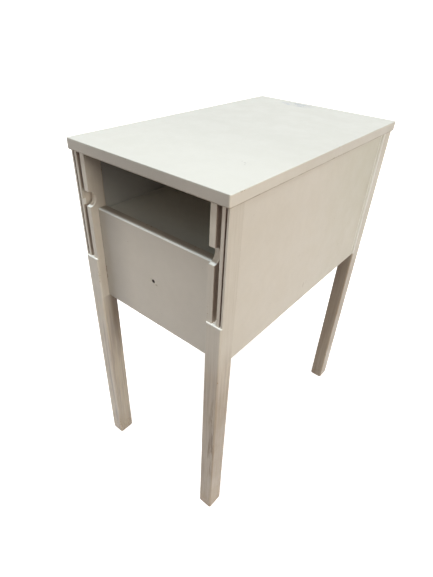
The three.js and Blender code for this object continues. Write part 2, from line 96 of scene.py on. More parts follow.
# ---- sizes that the CAD boxes don't say ----
LEG_EDGE_RADIUS = 3.0
FOOT_ROUNDING = 4.5
FOOT_CORNER_RADIUS = 6.5
FOOT_STEPS = 5
CHIPS_PER_FOOT = 5
FOOT_SEEDS = {"leg_front_left": 11, "leg_front_right": 12, "leg_rear_left": 13, "leg_rear_right": 14}
LIP_Z = 467.0
LEDGE_DEPTH = 2.3
INNER_WALL = 9.3
CHANNEL_WIDTH = 8.0
CHANNEL_DEPTH = 16.0
RIB = 4.9
SLOT_WIDTH = 2.8
SLOT_DEPTH = 12.0
NOTCH_RADIUS = 12.5
NOTCH_Z = 572.5
TOP_CORNER_RADIUS = 3.0
TOP_EASED_EDGE = 1.0
SIDE_LONGER = 0.27  # a side panel takes up most of the fine gap to each leg
FRONT_WIDER = 0.45  # and so does the drawer front, to each side
FRONT_EASED_EDGE = 2.5
FRONT_EASED_STEPS = 6
KNOB_HOLE_RADIUS = 2.5
KNOB_HOLE_Z = 471.5
BOTTOM_GROOVE_Z = (411.0, 414.6)
BOTTOM_GROOVE_X = (-101, 101)  # the groove across the back of the drawer front
FRONT_GROOVE_DEPTH = 5.0
SIDE_GROOVE_DEPTH = 6.0
DRAWER_EDGE_RADIUS = 1.6
PAST = 2.0  # how far a cutter reaches past the piece it cuts


# ---------------------------------------------------------------- meshes
def span(node):
    """A CAD node's lowest and highest corner, in millimetres."""
    low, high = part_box(node)
    return [c / MM for c in low], [c / MM for c in high]


def rounded_outline(x, y, radius, steps=6):
    """A rectangle with rounded corners, as points in order."""
    corners = (
        (x[1] - radius, y[0] + radius, -90),
        (x[1] - radius, y[1] - radius, 0),
        (x[0] + radius, y[1] - radius, 90),
        (x[0] + radius, y[0] + radius, 180),
    )
    points = []
    for cx, cy, start in corners:
        for i in range(steps + 1):
            angle = math.radians(start + 90 * i / steps)
            points.append((cx + radius * math.cos(angle), cy + radius * math.sin(angle)))
    return points


def circle(x, y, radius, sides):
    turns = [2 * math.pi * i / sides for i in range(sides)]
    return [(x + radius * math.cos(t), y + radius * math.sin(t)) for t in turns]


def loft(levels, axis="z"):
    """A closed bmesh through (outline, level) pairs. The outlines are in the other two axes."""
    order = {"x": (2, 0, 1), "y": (0, 2, 1), "z": (0, 1, 2)}[axis]
    bm = bmesh.new()
    rings = []
    for outline, level in levels:
        ring = []
        for a, b in outline:
            point = (a, b, level)
            ring.append(bm.verts.new([point[k] for k in order]))
        rings.append(ring)
    bm.faces.new(rings[0][::-1])
    bm.faces.new(rings[-1])
    for lower, upper in zip(rings, rings[1:]):
        for i in range(len(lower)):
            j = (i + 1) % len(lower)
            bm.faces.new((lower[i], lower[j], upper[j], upper[i]))
    bmesh.ops.recalc_face_normals(bm, faces=bm.faces)
    return bm


def prism(outline, start, end, axis="z"):
    return loft(((outline, start), (outline, end)), axis)


def block(x, y, z):
    return prism([(x[0], y[0]), (x[1], y[0]), (x[1], y[1]), (x[0], y[1])], z[0], z[1])


def lump(at, size, seed):
    """A small irregular pebble: cuts a chip or a dent out of a board."""
    draw = random.Random(seed)
    bm = bmesh.new()
    bmesh.ops.create_icosphere(bm, subdivisions=2, radius=1.0)
    for vert in bm.verts:
        vert.co *= draw.uniform(0.8, 1.15)
        vert.co = Vector(c * s for c, s in zip(vert.co, size)) + Vector(at)
    return bm


def round_flat_edges(bm, z, radius, steps):
    """Rounds the edges that lie flat at a height."""
    edges = [e for e in bm.edges if all(abs(v.co.z - z) < 1e-4 for v in e.verts)]
    bmesh.ops.bevel(
        bm, geom=edges, offset=radius, segments=steps, profile=0.5, affect="EDGES", clamp_overlap=True
    )


def mesh_object(name, bm, mirror=False):
    scale = Matrix.Diagonal((-MM if mirror else MM, MM, MM, 1))
    bmesh.ops.transform(bm, matrix=scale, verts=bm.verts)
    bmesh.ops.recalc_face_normals(bm, faces=bm.faces)
    mesh = bpy.data.meshes.new(name)
    bm.to_mesh(mesh)
    bm.free()
    made = bpy.data.objects.new(name, mesh)
    bpy.context.scene.collection.objects.link(made)
    return made


def bake_modifiers(piece):
    bpy.context.view_layer.update()
    graph = bpy.context.evaluated_depsgraph_get()
    mesh = bpy.data.meshes.new_from_object(piece.evaluated_get(graph))
    piece.modifiers.clear()
    old = piece.data
    piece.data = mesh
    bpy.data.meshes.remove(old)


def carve(piece, cutters, mirror=False):
    """Cuts each bmesh out of the piece, and joins the faces that stay in one plane."""
    tools = [mesh_object("tool", bm, mirror) for bm in cutters]
    for tool in tools:
        modifier = piece.modifiers.new("cut", "BOOLEAN")
        modifier.operation = "DIFFERENCE"
        modifier.solver = "EXACT"
        modifier.object = tool
    bake_modifiers(piece)
    for tool in tools:
        mesh = tool.data
        bpy.data.objects.remove(tool)
        bpy.data.meshes.remove(mesh)
    bm = bmesh.new()
    bm.from_mesh(piece.data)
    bmesh.ops.remove_doubles(bm, verts=bm.verts, dist=1e-6)
    bmesh.ops.dissolve_limit(
        bm, angle_limit=math.radians(0.4), verts=bm.verts, edges=bm.edges, use_dissolve_boundaries=False
    )
    bm.to_mesh(piece.data)
    bm.free()


def soften(piece, width, steps=2, angle=32):
    """Small rounded edges, and shading that keeps the flat faces flat."""
    for polygon in piece.data.polygons:
        polygon.use_smooth = True
    bevel = piece.modifiers.new("soft_edges", "BEVEL")
    bevel.width = width * MM
    bevel.segments = steps
    bevel.limit_method = "ANGLE"
    bevel.angle_limit = math.radians(angle)
    bevel.use_clamp_overlap = True
    normals = piece.modifiers.new("flat_faces", "WEIGHTED_NORMAL")
    normals.keep_sharp = True


def fit(piece, node, body, material):
    """Puts a finished piece in a CAD node's place."""
    piece.data.materials.clear()
    piece.data.materials.append(material)
    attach(piece, body)
    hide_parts(node)


# ---------------------------------------------------------------- material nodes
class Graph:
    """Short calls that build one material's nodes."""

    def __init__(self, name):
        self.material = bpy.data.materials.new(name)
        self.material.use_nodes = True
        self.tree = self.material.node_tree
        self.tree.nodes.clear()
        self.place = self.node("ShaderNodeTexCoord").outputs["Object"]
        self.x, self.y, self.z = self.split(self.place)

    def node(self, kind, inputs=None, **settings):
        made = self.tree.nodes.new(kind)
        for key, value in settings.items():
            setattr(made, key, value)
        for key, value in (inputs or {}).items():
            if isinstance(value, bpy.types.NodeSocket):
                self.tree.links.new(value, made.inputs[key])
            else:
                made.inputs[key].default_value = value
        return made

    def math(self, operation, *values):
        inputs = dict(enumerate(values))
        return self.node("ShaderNodeMath", inputs, operation=operation).outputs[0]

    def vector(self, operation, *values):
        inputs = dict(enumerate(values))
        return self.node("ShaderNodeVectorMath", inputs, operation=operation).outputs[0]

    def split(self, vector):
        made = self.node("ShaderNodeSeparateXYZ", {0: vector})
        return made.outputs[0], made.outputs[1], made.outputs[2]

    def product(self, *values):
        total = values[0]
        for value in values[1:]:
            total = self.math("MULTIPLY", total, value)
        return total

    def add(self, value, mask, amount):
        """Value, raised by amount where the mask is 1."""
        return self.math("ADD", value, self.math("MULTIPLY", mask, amount))

    def ramp(self, value, low, high, start=0.0, end=1.0):
        """A smooth step from start to end as value goes from low to high."""
        inputs = {
            "Value": value,
            "From Min": low,
            "From Max": high,
            "To Min": start,
            "To Max": end,
        }
        made = self.node("ShaderNodeMapRange", inputs, interpolation_type="SMOOTHSTEP")
        return made.outputs[0]

    def slope(self, value, low, high, start=0.0, end=1.0):
        """A ramp over a length, with its limits in millimetres."""
        return self.ramp(value, low * MM, high * MM, start, end)

    def noise(self, scale, detail=2.0, stretch=None, roughness=0.5, distortion=0.0):
        """Noise with features of about 1/scale metres; stretch multiplies each axis's scale."""
        where = self.place
        if stretch:
            where = self.vector("MULTIPLY", where, stretch)
        inputs = {
            "Vector": where,
            "Scale": scale,
            "Detail": detail,
            "Roughness": roughness,
            "Distortion": distortion,
        }
        return self.node("ShaderNodeTexNoise", inputs).outputs[0]

    def streaks(self, per_metre, detail=4.0, roughness=0.6, distortion=0.0):
        """Noise drawn out along the axes that have few features per metre."""
        return self.noise(1.0, detail, per_metre, roughness, distortion)

    def drift(self, low, high, scale, detail=3.0, roughness=0.5):
        """A value that wanders between low and high."""
        return self.ramp(self.noise(scale, detail, roughness=roughness), 0.3, 0.7, low, high)

    def bumps(self, depth, scale, detail=2.0):
        return self.math("MULTIPLY", self.noise(scale, detail), depth)

    def mix(self, factor, first, second, blend="MIX"):
        made = self.node("ShaderNodeMix", data_type="RGBA", blend_type=blend)
        for index, value in ((0, factor), (6, first), (7, second)):
            if isinstance(value, bpy.types.NodeSocket):
                self.tree.links.new(value, made.inputs[index])
            elif index == 0:
                made.inputs[index].default_value = value
            else:
                made.inputs[index].default_value = (*value, 1.0)
        return made.outputs[2]

    def stain(self, color, tone, mask, amount):
        """Covers part of the color with a tone, by amount where the mask is 1."""
        return self.mix(self.math("MULTIPLY", mask, amount), color, tone)

    def patches(self, first, second, scale, detail=4.0, roughness=0.5, limits=(0.3, 0.7)):
        """Two tones in soft patches."""
        clouds = self.noise(scale, detail, roughness=roughness)
        return self.mix(self.ramp(clouds, *limits), first, second)

    def blob(self, at, size, wobble=0.0, scale=60.0, soft=0.35):
        """1 inside an ellipsoid at a point in millimetres, 0 outside, with a ragged border."""
        centred = self.vector("SUBTRACT", self.place, tuple(c * MM for c in at))
        scaled = self.vector("DIVIDE", centred, tuple(s * MM for s in size))
        made = self.node("ShaderNodeVectorMath", {0: scaled}, operation="LENGTH")
        distance = made.outputs["Value"]
        if wobble:
            distance = self.add(distance, self.noise(scale, 3.0), wobble)
        return self.ramp(distance, 1.0 - soft, 1.0 + wobble / 2, 1.0, 0.0)

    def within(self, x, y, z, soft=0.2):
        """1 inside a box in millimetres, 0 outside; x counts outwards, the same on both sides."""
        inside = []
        for value, (low, high) in ((self.math("ABSOLUTE", self.x), x), (self.y, y), (self.z, z)):
            inside.append(self.slope(value, low - soft, low + soft))
            inside.append(self.slope(value, high - soft, high + soft, 1.0, 0.0))
        return self.product(*inside)

    def edge_distance(self, low, high):
        """Metres from a point on a box to the box's nearest edge, with mirrored halves folded together."""
        folded = self.vector("ABSOLUTE", self.place)
        ends = []
        for a, b in zip(low, high):
            inner, outer = sorted((abs(a), abs(b)))
            ends.append((-outer, outer) if a < 0 < b else (inner, outer))
        floor = tuple(e[0] * MM for e in ends)
        ceiling = tuple(e[1] * MM for e in ends)
        above = self.vector("SUBTRACT", folded, floor)
        below = self.vector("SUBTRACT", ceiling, folded)
        x, y, z = self.split(self.vector("MINIMUM", above, below))
        least = self.math("MINIMUM", x, y)
        other = self.math("MAXIMUM", x, y)
        return self.math("MAXIMUM", least, self.math("MINIMUM", other, z))

    def finish(self, color, roughness, height=None, **constants):
        inputs = {"Base Color": color, "Roughness": roughness}
        if height is not None:
            bump = self.node("ShaderNodeBump", {"Strength": 1.0, "Distance": 1.0, "Height": height})
            inputs["Normal"] = bump.outputs[0]
        inputs.update({key.replace("_", " "): value for key, value in constants.items()})
        shader = self.node("ShaderNodeBsdfPrincipled", inputs)
        output = self.node("ShaderNodeOutputMaterial")
        self.tree.links.new(shader.outputs[0], output.inputs["Surface"])
        return self.material


# ---------------------------------------------------------------- paint
def inside_cabinet(g):
    """1 on the faces that look into the cabinet, 0 outside."""
    across = (-1, span("side_panel_right")[0][0] + 0.6)
    along = (span("leg_front_right")[1][1], span("back_panel")[0][1] + 0.4)
    return g.within(across, along, (300, span("top_panel")[1][2]))


def show_grain(g, color, height):
    """A leg's wood grain under the paint, with mauve and pale streaks low down."""
    warm = g.mix(1.0, color, LEG_WARMTH, "MULTIPLY")
    color = g.mix(g.slope(g.z, 360, 400, 1.0, 0.0), color, warm)
    lines = g.streaks(UPRIGHT_GRAIN, 5.0, 0.62, 0.35)
    color = g.stain(color, PRIMER, g.ramp(lines, 0.33, 0.62), 0.20)
    lower = g.slope(g.z, 330, 420, 1.0, 0.0)
    wide = g.ramp(g.streaks((190.0, 190.0, 7.0), 4.0, 0.65, 0.3), 0.42, 0.64, 0.0, 0.7)
    color = g.mix(g.product(lower, wide), color, STREAK_MAUVE)
    pale = g.ramp(g.streaks((330.0, 330.0, 5.0), 3.0, 0.6, 0.2), 0.54, 0.66, 0.0, 0.75)
    color = g.mix(g.product(lower, pale), color, CREAM_PALE)
    return color, g.add(height, lines, 0.00016)


def floor_grime(g, color, roughness):
    """Dirt that gathers near the floor, and dark kick marks on the feet."""
    low_down = g.slope(g.z, 0, 330, 1.0, 0.0)
    runs = g.ramp(g.streaks((150.0, 150.0, 16.0)), 0.3, 0.75)
    amount = g.product(low_down, g.math("MULTIPLY_ADD", runs, 0.7, 0.3), 0.22)
    color = g.mix(amount, color, GRIME_AND_SHADE)
    kicks = g.product(g.slope(g.z, 4, 55, 1.0, 0.0), g.ramp(g.noise(210.0, 4.0), 0.5, 0.62))
    return g.stain(color, GRIME_AND_SHADE, kicks, 0.55), g.add(roughness, kicks, 0.2)


def chip_edges(g, color, roughness, height, node, chips):
    """Paint worn thin and broken off along a board's edges."""
    rubbed = g.slope(g.edge_distance(*span(node)), 0, 4.2, 1.0, 0.0)
    cluster = g.ramp(g.noise(17.0, 2.0), 0.42, 0.68)
    loose = g.product(rubbed, g.math("MULTIPLY_ADD", cluster, 0.2 * chips, 0.04))
    flakes = g.math("ADD", g.noise(330.0, 4.0, roughness=0.6), loose)
    color = g.stain(color, PRIMER, g.ramp(flakes, 0.64, 0.75), 0.35)
    chipped = g.ramp(flakes, 0.735, 0.775)
    color = g.stain(color, BARE_WOOD, chipped, 0.85)
    return color, g.add(roughness, chipped, 0.3), g.add(height, chipped, -0.00018)


def paint(name, node, chips, marks=None, inside=None, leg=False):
    """Satin paint on a board: roller stipple, faint blotches, chipped edges, and the board's marks."""
    g = Graph(name)
    color = g.patches(CREAM, CREAM_PALE, 5.0, 2.0, limits=(0.25, 0.75))
    if inside:
        color = g.mix(inside_cabinet(g), color, inside)
    fine = g.ramp(g.noise(70.0, 4.0, roughness=0.6), 0.3, 0.75, 0.985, 1.01)
    shade = g.node("ShaderNodeCombineColor", {0: fine, 1: fine, 2: fine}).outputs[0]
    color = g.mix(1.0, color, shade, "MULTIPLY")
    roughness = g.drift(0.34, 0.5, 28.0, 4.0, 0.65)
    height = g.math("ADD", g.bumps(0.000035, 950.0), g.bumps(0.00007, 240.0))
    if leg:
        color, height = show_grain(g, color, height)
        color, roughness = floor_grime(g, color, roughness)
    color, roughness, height = chip_edges(g, color, roughness, height, node, chips)
    if marks:
        color, roughness, height = marks(g, color, roughness, height)
    return g.finish(color, roughness, height, Specular_IOR_Level=0.45, Coat_Weight=0.12, Coat_Roughness=0.28)


# ---------------------------------------------------------------- marks on the top
def blue_scuff(g, color, rear, top):
    """Bluish strokes and ink flecks near the rear edge."""
    area = g.blob((-48, rear - 24, top), (52, 20, 9), 0.5, 70.0)
    strokes = g.ramp(g.streaks((45.0, 330.0, 40.0), distortion=0.8), 0.5, 0.6)
    color = g.stain(color, SCUFF_BLUE, g.product(area, strokes), 0.8)
    flecks = g.ramp(g.streaks((160.0, 420.0, 40.0), 3.0, 0.55, 1.2), 0.62, 0.66)
    return g.stain(color, SCUFF_INK, g.product(area, flecks), 0.9)


def hairlines(g, roughness, height):
    """Fine scratches, across and along."""
    across = g.ramp(g.streaks((9.0, 1500.0, 10.0), 1.0, 0.5, 0.4), 0.70, 0.78)
    along = g.ramp(g.streaks((1300.0, 12.0, 10.0), 1.0, 0.5, 0.6), 0.71, 0.79)
    hair = g.product(g.math("MAXIMUM", across, along), g.ramp(g.noise(14.0, 2.0), 0.45, 0.65))
    return g.add(roughness, hair, 0.14), g.add(height, hair, -0.00003)


def top_marks(g, color, roughness, height):
    """Painted cool light on the upper face, painted shade towards the rear and on the front and right edges,
    a dark line along the lower edges, a scuff, specks and scratches.
    """
    low, high = span("top_panel")
    # painted light: the upper face is whiter and cooler, as if lit by cool light from above
    white = g.patches(TOP_LIT_WHITE, TOP_LIT_WHITE_PALE, 5.0, 2.0, limits=(0.25, 0.75))
    color = g.mix(g.slope(g.z, high[2] - 1.2, high[2] - 0.3, 0.0, 0.9), color, white)
    underneath = g.slope(g.z, low[2] + 0.7, low[2] + 1.8, 1.0, 0.0)
    uneven = g.ramp(g.noise(60.0, 3.0), 0.25, 0.6, 0.5, 1.0)
    color = g.stain(color, GRIME_AND_SHADE, g.product(underneath, uneven), 0.9)
    # painted shade: the top darkens towards the rear
    color = g.mix(g.slope(g.y, -220, 0, 0.0, 0.075), color, SOOT_AND_SHADE)
    # painted shade on the front edge, darker towards the middle
    front = g.slope(g.y, low[1] + 0.1, low[1] + 1.0, 1.0, 0.0)
    middle = g.slope(g.math("ABSOLUTE", g.x), 30, 130, 0.43, 0.33)
    color = g.mix(g.product(front, middle), color, SOOT_AND_SHADE)
    # painted shade on the right edge, darker towards the rear
    right = g.slope(g.x, high[0] - 1.0, high[0] - 0.1)
    rearward = g.slope(g.y, low[1], high[1], 0.0, 0.08)
    color = g.mix(g.product(right, rearward), color, SOOT_AND_SHADE)
    color = blue_scuff(g, color, high[1], high[2])
    for x, y, size in ((97, -152, (2.2, 1.5, 2)), (101, -158, (1.4, 1.0, 2)), (90, -149, (1.0, 1.4, 2))):
        color = g.stain(color, SOOT_AND_SHADE, g.blob((x, y, high[2]), size, 0.6, 700.0), 0.45)
    return color, *hairlines(g, roughness, height)


# ---------------------------------------------------------------- marks on the drawer front
def knob_hole_chips_and_shade(g, color, roughness, height, face):
    """Paint broken off round the empty knob hole, and painted shade inside the hole."""
    for x, up, size, strength in (
        (0.4, 0.0, (4.3, 4, 4.1), 0.7),
        (6.6, -4.6, (3.6, 3, 1.9), 0.5),
        (-4.6, 2.2, (1.8, 3, 1.2), 0.6),
    ):
        chip = g.blob((x, face, KNOB_HOLE_Z + up), size, 0.55, 420.0)
        color = g.stain(color, GRIME_AND_SHADE, chip, strength)
        roughness = g.add(roughness, chip, 0.2)
        height = g.add(height, chip, -0.0002)
    reach = KNOB_HOLE_RADIUS + 1.1
    # painted shade inside the knob hole
    hole = g.blob((0, face + 6.5, KNOB_HOLE_Z), (reach, 30, reach), soft=0.2)
    return g.stain(color, SOOT_AND_SHADE, hole, 0.96), roughness, height


def front_marks(g, color, roughness, height):
    """A painted highlight on the upper front edge, painted shade on the top face behind it, on the left end
    and on the upper part, and the hole's chips.
    """
    low, high = span("drawer_front")
    # a painted highlight along the rounded upper front edge
    edge = g.within((-1, high[0] + PAST), (low[1] - 1, low[1] + 2.4), (high[2] - 2.0, high[2] + 1))
    color = g.stain(color, HIGHLIGHT_WHITE, edge, 0.95)
    # painted shade on the top face, darker towards the back under the top
    upper = g.slope(g.z, high[2] - 0.6, high[2] - 0.1)
    behind = g.slope(g.y, low[1] + 2.4, low[1] + 9.0, 0.0, 0.47)
    color = g.mix(g.product(upper, behind), color, GRIME_AND_SHADE)
    # painted shade on the left end
    color = g.mix(g.slope(g.x, -110, -40, 0.44, 0.0), color, SOOT_AND_SHADE)
    # painted shade on the upper part
    color = g.mix(g.slope(g.z, 490, 550, 0.0, 0.08), color, SOOT_AND_SHADE)
    return knob_hole_chips_and_shade(g, color, roughness, height, low[1])


# ---------------------------------------------------------------- marks on the side panels
def side_marks(g, color, roughness, height):
    """Painted olive shade in the upper rear corner, two painted highlight lines near the rear leg, and a few
    scratches.
    """
    outer = span("side_panel_right")[1][0]
    skin = (outer - 1, outer + 1)
    whole = (0, span("top_panel")[1][2])
    # painted shade in the upper rear corner
    corner = g.product(g.slope(g.y, -60, 200), g.slope(g.z, 420, 620, 0.25, 0.62))
    color = g.mix(corner, color, PAINTED_SHADE_OLIVE)
    # two painted highlight lines near the rear leg
    color = g.stain(color, HIGHLIGHT_WHITE, g.within(skin, (209, 230), whole), 0.35)
    color = g.stain(color, HIGHLIGHT_WHITE, g.within(skin, (208, 209.6), whole, 0.5), 0.95)
    for x, y, z, size, strength in (
        (outer, -6.7, 418.3, (3, 1.3, 7.5), 0.6),
        (outer, 3.2, 421.5, (3, 0.9, 4.5), 0.4),
        (outer, 118, 452, (3, 5, 1.1), 0.25),
        (-outer, 60, 500, (3, 7, 1.0), 0.3),
        (-outer, -90, 431, (3, 1.2, 6.0), 0.4),
    ):
        scratch = g.blob((x, y, z), size, 0.4, 300.0)
        color = g.stain(color, GRIME_AND_SHADE, scratch, strength)
        height = g.add(height, scratch, -0.00012)
    return color, roughness, height


# ---------------------------------------------------------------- marks on the legs
def channels(inner):
    """Each cable channel of a front leg: its two sides, outwards from the inner face, and its depth."""
    groove = inner + INNER_WALL
    slot = groove + CHANNEL_WIDTH + RIB
    return (groove, groove + CHANNEL_WIDTH, CHANNEL_DEPTH), (slot, slot + SLOT_WIDTH, SLOT_DEPTH)


def channel_marks(g, color):
    """Painted shade in the cable channels, except beside the left leg's notch, and painted highlights on the
    lips and notches.
    """
    low, high = span("leg_front_right")
    face = low[1] + LEDGE_DEPTH + 0.6
    notch_low, notch_high = NOTCH_Z - NOTCH_RADIUS, NOTCH_Z + NOTCH_RADIUS
    above = g.slope(g.z, notch_low - 2, notch_low)
    below = g.slope(g.z, notch_high, notch_high + 2, 1.0, 0.0)
    clean = g.product(g.slope(g.x, -10, 10, 1.0, 0.0), above, below)
    # painted shade in the cable channels
    for (start, end, depth), amount in zip(channels(low[0]), (0.4, 0.75)):
        shaded = g.within((start - 0.4, end + 0.4), (face, face + depth), (LIP_Z + 0.4, 650))
        shaded = g.product(shaded, g.math("SUBTRACT", 1.0, clean))
        color = g.stain(color, CHANNEL_SHADE, shaded, amount)
    # painted highlights on the lips and the notches' lower edges
    lip = g.within((low[0], high[0] + 4), (low[1] - 1, face + 1.2), (LIP_Z - 1.4, LIP_Z + 0.4))
    groove_end = channels(low[0])[0][1]
    across = (low[0], groove_end + 0.4)
    notch = g.within(across, (low[1], low[1] + 7.5), (notch_low - 0.6, NOTCH_Z - 3), 0.8)
    return g.stain(color, HIGHLIGHT_WHITE, g.math("MAXIMUM", lip, notch), 0.9)


def rear_joint(g, color):
    """A painted highlight along where a rear leg meets the side panel."""
    board_low, board_high = span("side_panel_right")
    leg_low, leg_high = span("leg_rear_right")
    across = (board_high[0] - 0.6, leg_high[0] + 5)
    along = (leg_low[1] - 1, leg_low[1] + 3.2)
    # painted highlight along the joint
    joint = g.within(across, along, (board_low[2] + 1, span("top_panel")[0][2]), 0.5)
    return g.stain(color, HIGHLIGHT_WHITE, joint, 0.95)


def leg_dirt_and_shade(g, color):
    """Painted shade that darkens the two right legs low down, with dirt streaks on the front one."""
    outer = span("leg_front_right")[1][0]
    right = g.slope(g.x, -10, 10)
    # painted shade: the right legs darken low down
    near = g.product(right, g.slope(g.y, -10, 10, 1.0, 0.0), g.slope(g.z, 300, 440, 1.0, 0.15))
    color = g.stain(color, GRIME_AND_SHADE, near, 0.62)
    far = g.product(right, g.slope(g.y, -10, 10), g.slope(g.z, 340, 420, 1.0, 0.2))
    color = g.stain(color, GRIME_AND_SHADE, far, 0.58)
    # painted shade on the right legs' outer faces, low down
    side = g.product(g.slope(g.x, outer - 3.0, outer - 0.4), g.slope(g.z, 280, 360, 0.30, 0.0))
    color = g.mix(side, color, GRIME_AND_SHADE)
    bands = g.ramp(g.streaks((420.0, 420.0, 11.0), 4.0, 0.65, 0.4), 0.46, 0.6, 0.0, 0.55)
    return g.mix(g.product(near, bands), color, GRIME_AND_SHADE)


def shade_under_boards(g, color):
    """Painted shadow in dark brown under the boards, on the legs' inner faces and the rear legs' front
    faces.
    """
    ragged = g.math("MULTIPLY_ADD", g.streaks((160.0, 160.0, 14.0)), 100 * MM, -50 * MM)
    upward = g.math("ADD", g.z, ragged)
    inner = span("leg_front_right")[0][0]
    rear = span("leg_rear_right")[0][1]
    boards = span("side_panel_right")[0][2]
    # painted shadow under the boards, in dark brown
    below = g.slope(g.z, boards - 2, boards + 1, 1.0, 0.0)
    inner_face = g.slope(g.math("ABSOLUTE", g.x), inner + 0.2, inner + 3.2, 1.0, 0.0)
    outermost = g.slope(g.math("ABSOLUTE", g.y), 225, 244, 1.0, 0.1)
    brown = g.product(inner_face, outermost, below, g.slope(upward, 200, 350, 0.0, 0.94))
    color = g.mix(brown, color, BROWN_STAIN_AND_SHADE)
    rear_face = g.product(g.slope(g.y, rear + 0.2, rear + 3.0, 1.0, 0.0), g.slope(g.y, 200, 210))
    brown = g.product(rear_face, below, g.slope(upward, 20, 375, 0.0, 0.42))
    return g.mix(brown, color, BROWN_STAIN_AND_SHADE)


def foot_marks(g, color):
    """Worn front feet, a brown smear down the right front leg, a broken corner and dirty patches."""
    front = span("leg_front_right")[0][1]
    rear = span("leg_rear_right")[0][1]
    foot = g.product(g.slope(g.y, -10, 10, 1.0, 0.0), g.slope(g.z, 0, 100, 0.34, 0.0))
    color = g.mix(foot, color, WORN_BROWN)
    area = g.blob((140, front - 1, 205), (9.5, 14, 135), 0.4, 30.0)
    smear = g.ramp(g.streaks((260.0, 100.0, 20.0), 4.0, 0.62, 0.5), 0.42, 0.62)
    color = g.stain(color, BROWN_STAIN_AND_SHADE, g.product(area, smear), 0.95)
    broken = g.blob((-149, front - 1, 9), (4.5, 5.0, 12), 0.5, 160.0)
    color = g.stain(color, BROWN_STAIN_AND_SHADE, broken, 0.7)
    for x, y, z, size in (
        (-133, front, 150, (7, 6, 60)),
        (133, rear, 160, (9, 6, 80)),
        (147, front + 16, 70, (5, 9, 40)),
    ):
        patch = g.blob((x, y, z), size, 0.5, 40.0)
        color = g.stain(color, GRIME_AND_SHADE, g.product(patch, smear), 0.22)
    return color


def leg_marks(g, color, roughness, height):
    color = channel_marks(g, color)
    color = rear_joint(g, color)
    color = leg_dirt_and_shade(g, color)
    color = shade_under_boards(g, color)
    return foot_marks(g, color), roughness, height


# ---------------------------------------------------------------- other materials
def foil(name, node):
    """Melamine foil on particle board: smooth, with a faint print and bare spots on the edges."""
    g = Graph(name)
    printed = g.ramp(g.streaks((30.0, 9.0, 160.0), distortion=0.4), 0.3, 0.7)
    color = g.mix(printed, FOIL_WHITE, FOIL_GREY)
    color = g.stain(color, GRIME_AND_SHADE, g.ramp(g.noise(120.0, 4.0), 0.55, 0.8), 0.12)
    rubbed = g.slope(g.edge_distance(*span(node)), 0, 1.6, 1.0, 0.0)
    bare = g.ramp(g.add(g.noise(420.0, 3.0), rubbed, 0.16), 0.66, 0.72)
    color = g.stain(color, PARTICLE_BOARD, bare, 0.6)
    height = g.bumps(0.00003, 700.0)
    return g.finish(color, g.drift(0.42, 0.55, 60.0), height, Specular_IOR_Level=0.4)


def hardboard(name):
    """The drawer bottom: white above, brown pressed fibre with a woven print below."""
    g = Graph(name)
    facing = g.split(g.node("ShaderNodeNewGeometry").outputs["True Normal"])[2]
    side = g.ramp(facing, 0.3, 0.6)
    brown = g.patches((0.20, 0.115, 0.055), (0.34, 0.21, 0.11), 620.0, 5.0, 0.7)
    white = g.patches((0.70, 0.68, 0.62), (0.62, 0.595, 0.53), 90.0, limits=(0.3, 0.75))
    weave = 3900.0  # radians per metre
    waves = [g.math("SINE", g.math("MULTIPLY", place, weave)) for place in (g.x, g.y)]
    height = g.product(*waves, g.ramp(side, 0.0, 1.0, 0.00008, 0.0))
    roughness = g.ramp(side, 0.0, 1.0, 0.85, 0.5)
    return g.finish(g.mix(side, brown, white), roughness, height, Specular_IOR_Level=0.3)


def beech_wood():
    g = Graph("beech_dowel")
    rings = g.noise(420.0, 4.0, roughness=0.6)
    flecks = g.ramp(g.noise(900.0, 3.0), 0.6, 0.7)
    color = g.mix(g.ramp(rings, 0.3, 0.7), (0.50, 0.31, 0.15), (0.64, 0.43, 0.23))
    color = g.stain(color, (0.30, 0.16, 0.07), flecks, 0.4)
    return g.finish(color, g.ramp(rings, 0.3, 0.7, 0.6, 0.75), g.math("MULTIPLY", rings, 0.0001))


def zinc_plate():
    g = Graph("zinc_plate")
    color = g.patches((0.46, 0.48, 0.49), (0.62, 0.63, 0.62), 160.0, 5.0, 0.65)
    color = g.stain(color, (0.30, 0.27, 0.22), g.ramp(g.noise(420.0, 3.0), 0.6, 0.72), 0.4)
    return g.finish(color, g.drift(0.28, 0.46, 380.0), g.bumps(0.00002, 1400.0), Metallic=1.0)


def white_enamel():
    """Enamel on the steel rails, worn in streaks along them."""
    g = Graph("white_enamel")
    color = g.patches((0.66, 0.66, 0.64), (0.73, 0.73, 0.71), 60.0)
    worn = g.ramp(g.streaks((500.0, 22.0, 500.0)), 0.66, 0.72)
    color = g.stain(color, (0.33, 0.33, 0.32), worn, 0.5)
    return g.finish(color, g.drift(0.28, 0.42, 240.0), g.bumps(0.00006, 520.0), Metallic=0.15)


def nylon_roller():
    g = Graph("nylon_roller")
    color = g.patches((0.62, 0.60, 0.54), (0.72, 0.70, 0.64), 200.0)
    color = g.stain(color, (0.25, 0.23, 0.20), g.ramp(g.noise(500.0, 4.0), 0.56, 0.7), 0.4)
    return g.finish(color, g.drift(0.38, 0.55, 300.0), g.bumps(0.00003, 900.0, 3.0), Subsurface_Weight=0.05)


def grey_rubber():
    g = Graph("grey_rubber")
    color = g.patches((0.22, 0.215, 0.20), (0.31, 0.30, 0.28), 300.0)
    return g.finish(color, g.drift(0.72, 0.88, 260.0), g.bumps(0.00005, 1500.0, 3.0))


